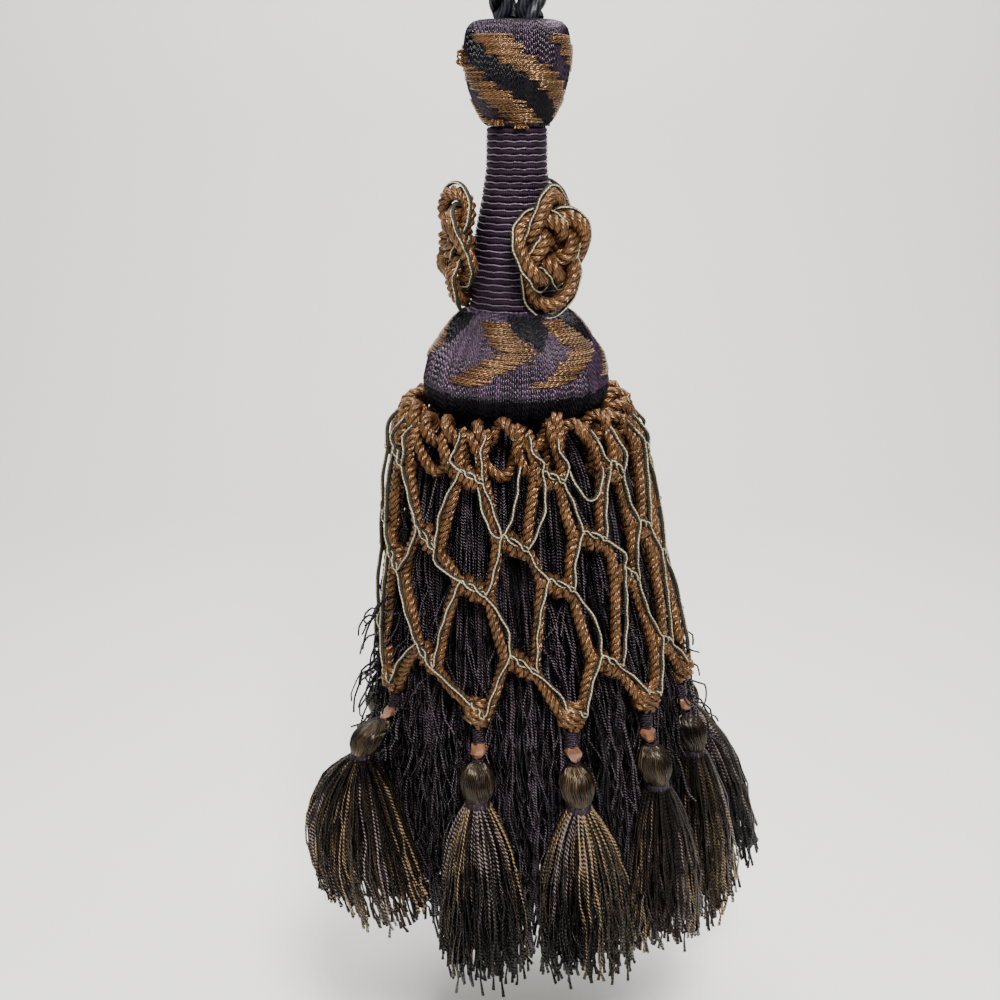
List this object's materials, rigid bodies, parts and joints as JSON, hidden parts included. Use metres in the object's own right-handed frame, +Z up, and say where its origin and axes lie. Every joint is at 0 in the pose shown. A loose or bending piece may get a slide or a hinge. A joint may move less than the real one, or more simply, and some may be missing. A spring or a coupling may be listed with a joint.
{
  "type": "curtain tieback tassel",
  "caption": "Hanging curtain tieback tassel: floss-wound head, rosette knots, cord net with small bead tassels over a full thread skirt, hung by a rope loop.",
  "frame": {"origin": "inside top of the rope loop that the tassel hangs from", "axes": "+Z up along the hanging tassel, +X to the right and -Y towards the viewer of the tassel's front"},
  "size_m": [0.153, 0.1298, 0.3621],
  "materials": {
    "rope": "black satin three-strand twisted rope",
    "floss": "dark aubergine floss wound over the head, with bronze satin-stitched bands",
    "gimp": "dark purple gimp wound in close rings with a fine lilac thread",
    "bronze": "bronze satin twisted cord edged with grey-gold gimp",
    "thread": "near-black purple twisted threads",
    "mixed": "mixed olive-gold, bronze, purple and black threads with an amber bead"
  },
  "bodies": {
    "root": {"rope_loop": "rope", "cup": "floss", "neck": "gimp", "bun": "floss", "rosette_0": "bronze", "rosette_1": "bronze", "rosette_2": "bronze", "net": "bronze", "skirt": "thread", "small_tassel_00": "mixed", "small_tassel_01": "mixed", "small_tassel_02": "mixed", "small_tassel_03": "mixed", "small_tassel_04": "mixed", "small_tassel_05": "mixed", "small_tassel_06": "mixed", "small_tassel_07": "mixed", "small_tassel_08": "mixed", "small_tassel_09": "mixed", "small_tassel_10": "mixed"}
  },
  "joints": []
}
